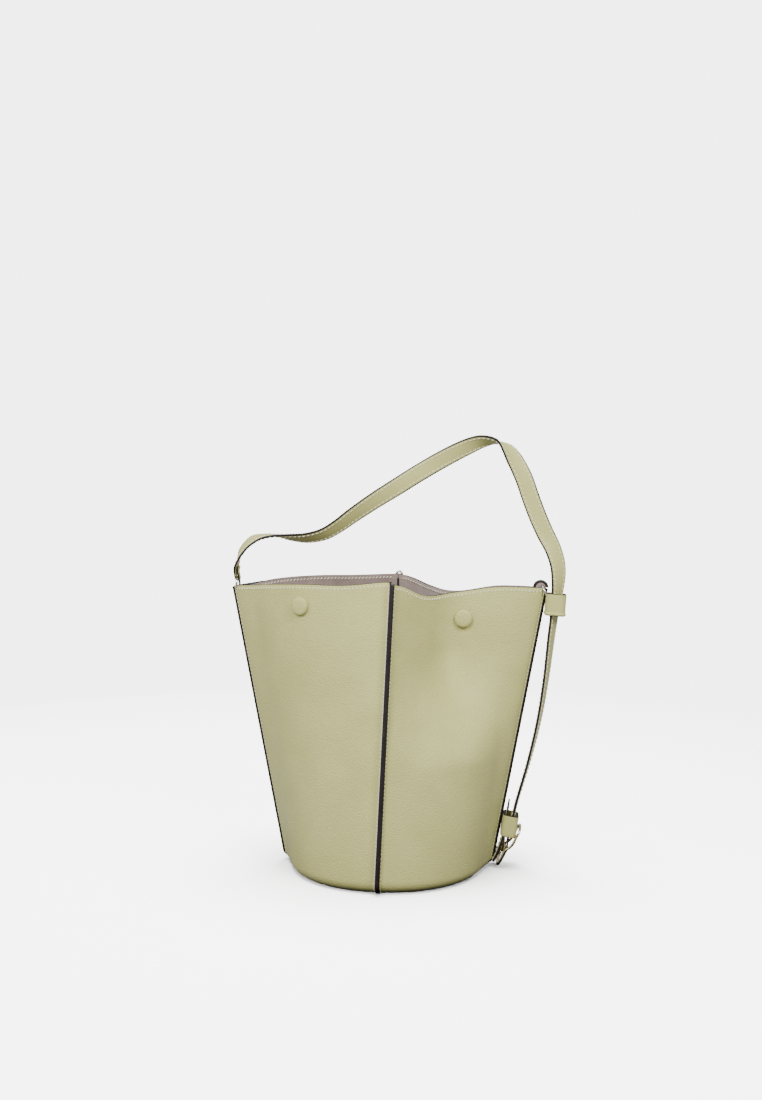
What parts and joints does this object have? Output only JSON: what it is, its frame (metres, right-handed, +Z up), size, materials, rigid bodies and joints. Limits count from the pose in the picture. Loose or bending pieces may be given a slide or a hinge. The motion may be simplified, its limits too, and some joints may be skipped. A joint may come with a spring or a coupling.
{
  "type": "bucket bag",
  "caption": "Leather bucket bag of tapered panels with raised seams, covered snaps, a looped shoulder strap on metal rings and an adjusting buckle at one side.",
  "frame": {"origin": "centre of the round base, on its underside, which stands on the ground", "axes": "+Z up, +X to the buckle side, -Y to the front seam"},
  "size_m": [0.3001, 0.19, 0.3861],
  "materials": {
    "leather": "fine pebbled pistachio leather, satin, with dark painted edges and cream stitching",
    "lining": "soft mauve-taupe suede-like lining, matte",
    "board": "grey stiffening board, matte",
    "metal": "polished pale gold plating"
  },
  "bodies": {
    "root": {"front_left_panel": "leather", "front_right_panel": "leather", "back_left_panel": "leather", "back_right_panel": "leather", "front_left_lining": "lining", "front_right_lining": "lining", "back_left_lining": "lining", "back_right_lining": "lining", "base_panel": "leather", "base_board": "board", "base_lining": "lining", "front_left_cap_core": "metal", "front_left_cap_cover": "leather", "front_left_snap_socket": "metal", "front_right_cap_core": "metal", "front_right_cap_cover": "leather", "front_right_snap_socket": "metal", "back_left_cap_core": "metal", "back_left_cap_cover": "leather", "back_left_snap_stud": "metal", "back_right_cap_core": "metal", "back_right_cap_cover": "leather", "back_right_snap_stud": "metal", "adjuster_strap": "leather", "billet_tab": "leather", "upper_keeper": "leather", "buckle_frame": "metal"},
    "handle": {"handle_strap": "leather"},
    "left_ring_body": {"left_ring": "metal"},
    "right_ring_body": {"right_ring": "metal"},
    "back_ring_body": {"back_ring": "metal"},
    "sliding_keeper": {"lower_keeper": "leather"},
    "tongue": {"buckle_tongue": "metal"}
  },
  "joints": [
    {"name": "handle_swing", "type": "hinge", "parent": "root", "child": "handle", "pos_m": [0, 0, 0.2522], "axis": [1, 0, 0], "range_deg": [-55, 55]},
    {"name": "left_ring_turn", "type": "hinge", "parent": "root", "child": "left_ring_body", "pos_m": [-0.1374, 0, 0.2522], "axis": [1, 0, 0], "range_deg": [-170, 170]},
    {"name": "right_ring_turn", "type": "hinge", "parent": "root", "child": "right_ring_body", "pos_m": [0.14022, 0, 0.24658], "axis": [0.9063, 0, 0.4226], "range_deg": [-170, 170]},
    {"name": "back_ring_turn", "type": "hinge", "parent": "root", "child": "back_ring_body", "pos_m": [0.004, 0.0658, 0.2584], "axis": [0, 1, 0], "range_deg": [-170, 170]},
    {"name": "lower_keeper_slide", "type": "slide", "parent": "root", "child": "sliding_keeper", "axis": [0.1736, 0, 0.9848], "range_m": [0, 0.005]},
    {"name": "buckle_tongue_lift", "type": "hinge", "parent": "root", "child": "tongue", "pos_m": [0.1055, 0, 0.0165], "axis": [0, -1, 0], "range_deg": [0, 55]}
  ]
}
